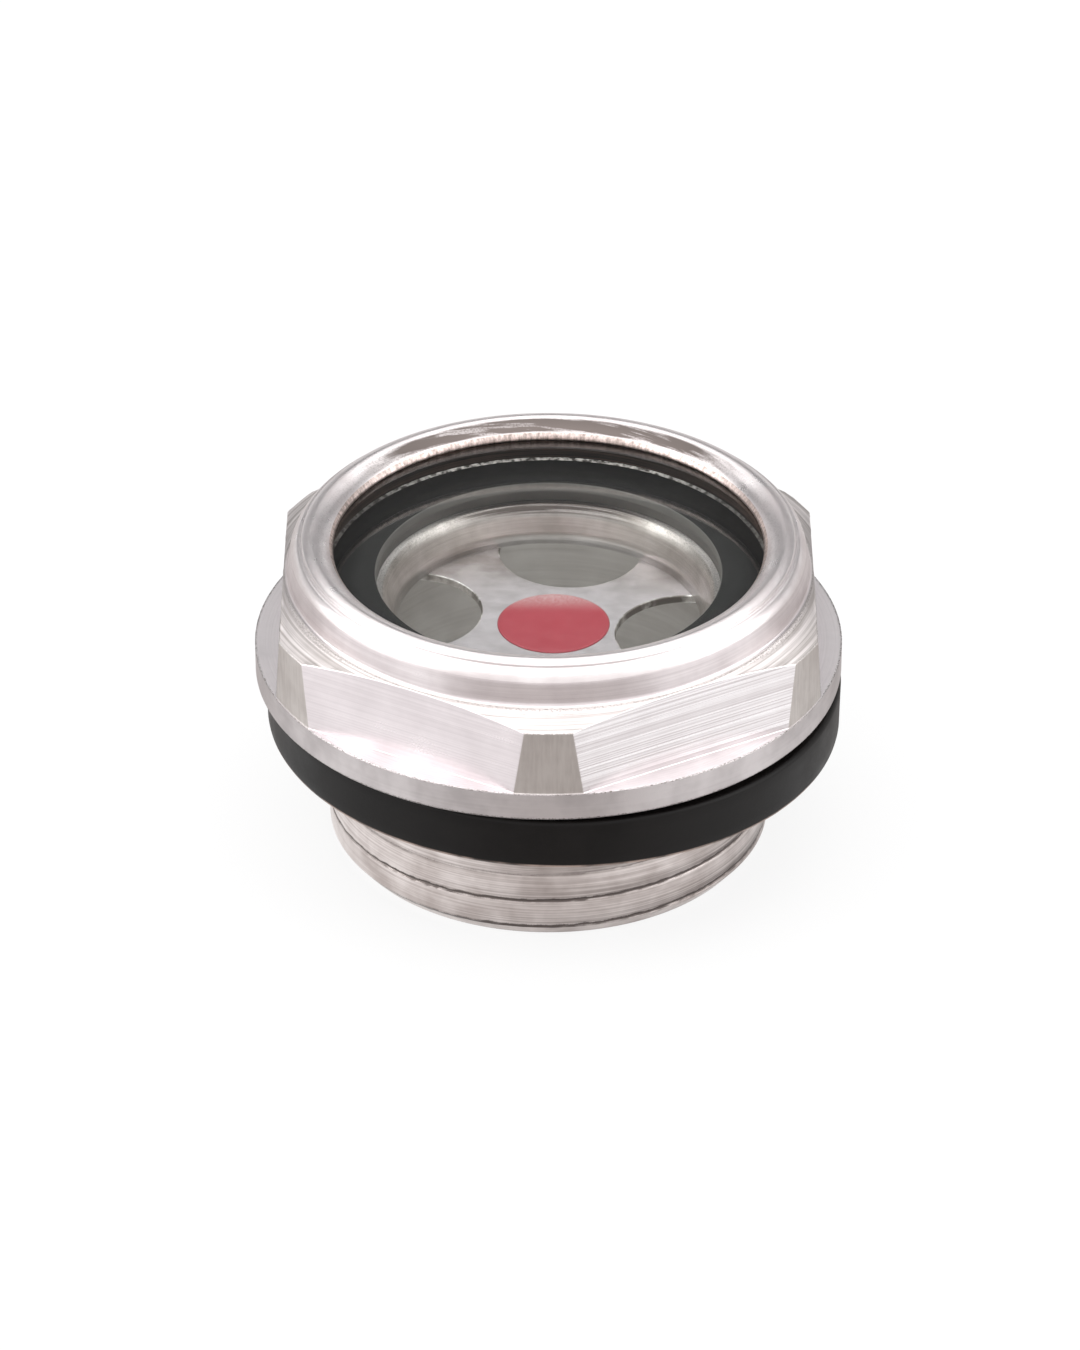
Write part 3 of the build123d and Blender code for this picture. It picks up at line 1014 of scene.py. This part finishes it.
# Side: near black with thin brown rings of sealing compound, darkened with painted shade; the dark
# band inside the lip.
material = blank_material("ground_stained_edge")
tree = material.node_tree
line = add(tree, "ShaderNodeTexNoise", {
    "Vector": turning_lines(stain_ring_mm)(tree), "Scale": 1.0, "Detail": 3.0})
tone = add(tree, "ShaderNodeValToRGB", {"Fac": line.outputs["Fac"]})
for stop, position, colour in zip(tone.color_ramp.elements, (0.47, 0.7), ("#0D0907", "#4A3A32")):
    stop.position, stop.color = position, linear(colour)
shader = add(tree, "ShaderNodeBsdfPrincipled", {
    "Base Color": tone.outputs[0], "Roughness": 0.5, "Specular IOR Level": 0.15})
glass.data.materials.append(finish_material(material, shader.outputs[0]))

# Ground lower edge: a thin chipped line, pale at the back and darker towards the sides and front.
material = blank_material("ground_lower_edge")
tree = material.node_tree
place = add(tree, "ShaderNodeTexCoord").outputs["Object"]
chips = add(tree, "ShaderNodeTexNoise", {"Vector": place, "Scale": 1 / (chip_mm * MM), "Detail": 4.0})
tone = add(tree, "ShaderNodeValToRGB", {"Fac": chips.outputs["Fac"]})
for stop, position, colour in zip(tone.color_ramp.elements, (0.4, 0.6), ("#3A332F", "#CFC9C5")):
    stop.position, stop.color = position, linear(colour)
depth = add(tree, "ShaderNodeSeparateXYZ", {"Vector": place}).outputs["Y"]
far_share = add(tree, "ShaderNodeMapRange", {
    "Value": depth, "From Min": pale_back_fade[0], "From Max": pale_back_fade[1], "To Min": 0.15, "To Max": 1.0})
tone = add(tree, "ShaderNodeMix", {
    0: far_share.outputs[0], 6: linear("#2A2320"), 7: tone.outputs[0]}, data_type="RGBA")
shader = add(tree, "ShaderNodeBsdfPrincipled", {"Base Color": tone.outputs[2], "Roughness": 0.4})
glass.data.materials.append(finish_material(material, shader.outputs[0]))
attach(glass, "root")
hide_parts("sight_glass")

# ---- Tank packing: the thick black rubber washer on the spigot ----
# Moulded nitrile, loose on the thread, so it hangs a little askew under the flange and
# leaves a dark gap on one side.
outer_r = 17.15
inner_r = 13.65
inner_edge = 0.05
thickness = 3.2
edge = 0.3
side_levels = (0.9, 1.6, 2.3)
sway_depth = 0.02
sway_length = 4.0
sway_start_r = 17.0
tilt = math.radians(1.1)
washer_low, washer_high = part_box("tank_packing")
low_round = [(outer_r - edge + edge * math.sin(a), edge - edge * math.cos(a))
             for a in (0.4, 0.8, 1.2, math.pi / 2)]
high_round = [(outer_r - edge + edge * math.cos(a), thickness - edge + edge * math.sin(a))
              for a in (0, 0.4, 0.8, 1.2, math.pi / 2)]
profile = [(inner_r + inner_edge, 0), (outer_r - edge, 0)]
profile += low_round
profile += [(outer_r, level) for level in side_levels]
profile += high_round
profile += [(inner_r + inner_edge, thickness), (inner_r, thickness - inner_edge), (inner_r, inner_edge)]
# Painted highlight: the lower round's middle points carry a brownish line where the edge catches the light.
glint_points = low_round[1:3]
washer = lathe("washer", profile, round_segments)
lift = washer_low[2] + outer_r * math.sin(tilt) * MM
lean = (washer_low[0] + washer_high[0]) / 2 - thickness / 2 * math.sin(tilt) * MM
for vertex in washer.data.vertices:
    x, y, z = vertex.co
    sway = sway_depth * MM * noise.noise(Vector((x, y, z)) / (sway_length * MM))
    if math.hypot(x, y) > sway_start_r * MM:
        drawn_in = 1 - abs(sway) / (sway_start_r * MM)
        x, y = x * drawn_in, y * drawn_in
    vertex.co = (x * math.cos(tilt) + z * math.sin(tilt) + lean, y,
                 z * math.cos(tilt) - x * math.sin(tilt) + lift)
edge_glint = washer.data.attributes.new("edge_glint", "FLOAT", "POINT")
edge_glint.data.foreach_set("value", [
    1.0 if point in glint_points else 0.0 for point in profile for _ in range(round_segments)])

# Moulded rubber: black with a low sheen, and a brownish painted highlight along the lower edge.
washer.data.materials.append(rubber(
    "moulded_rubber", "#060505", "#161312", 0.4, 0.12, glint_colour="#A08E85", shine=0.18))
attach(washer, "root")
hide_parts("tank_packing")
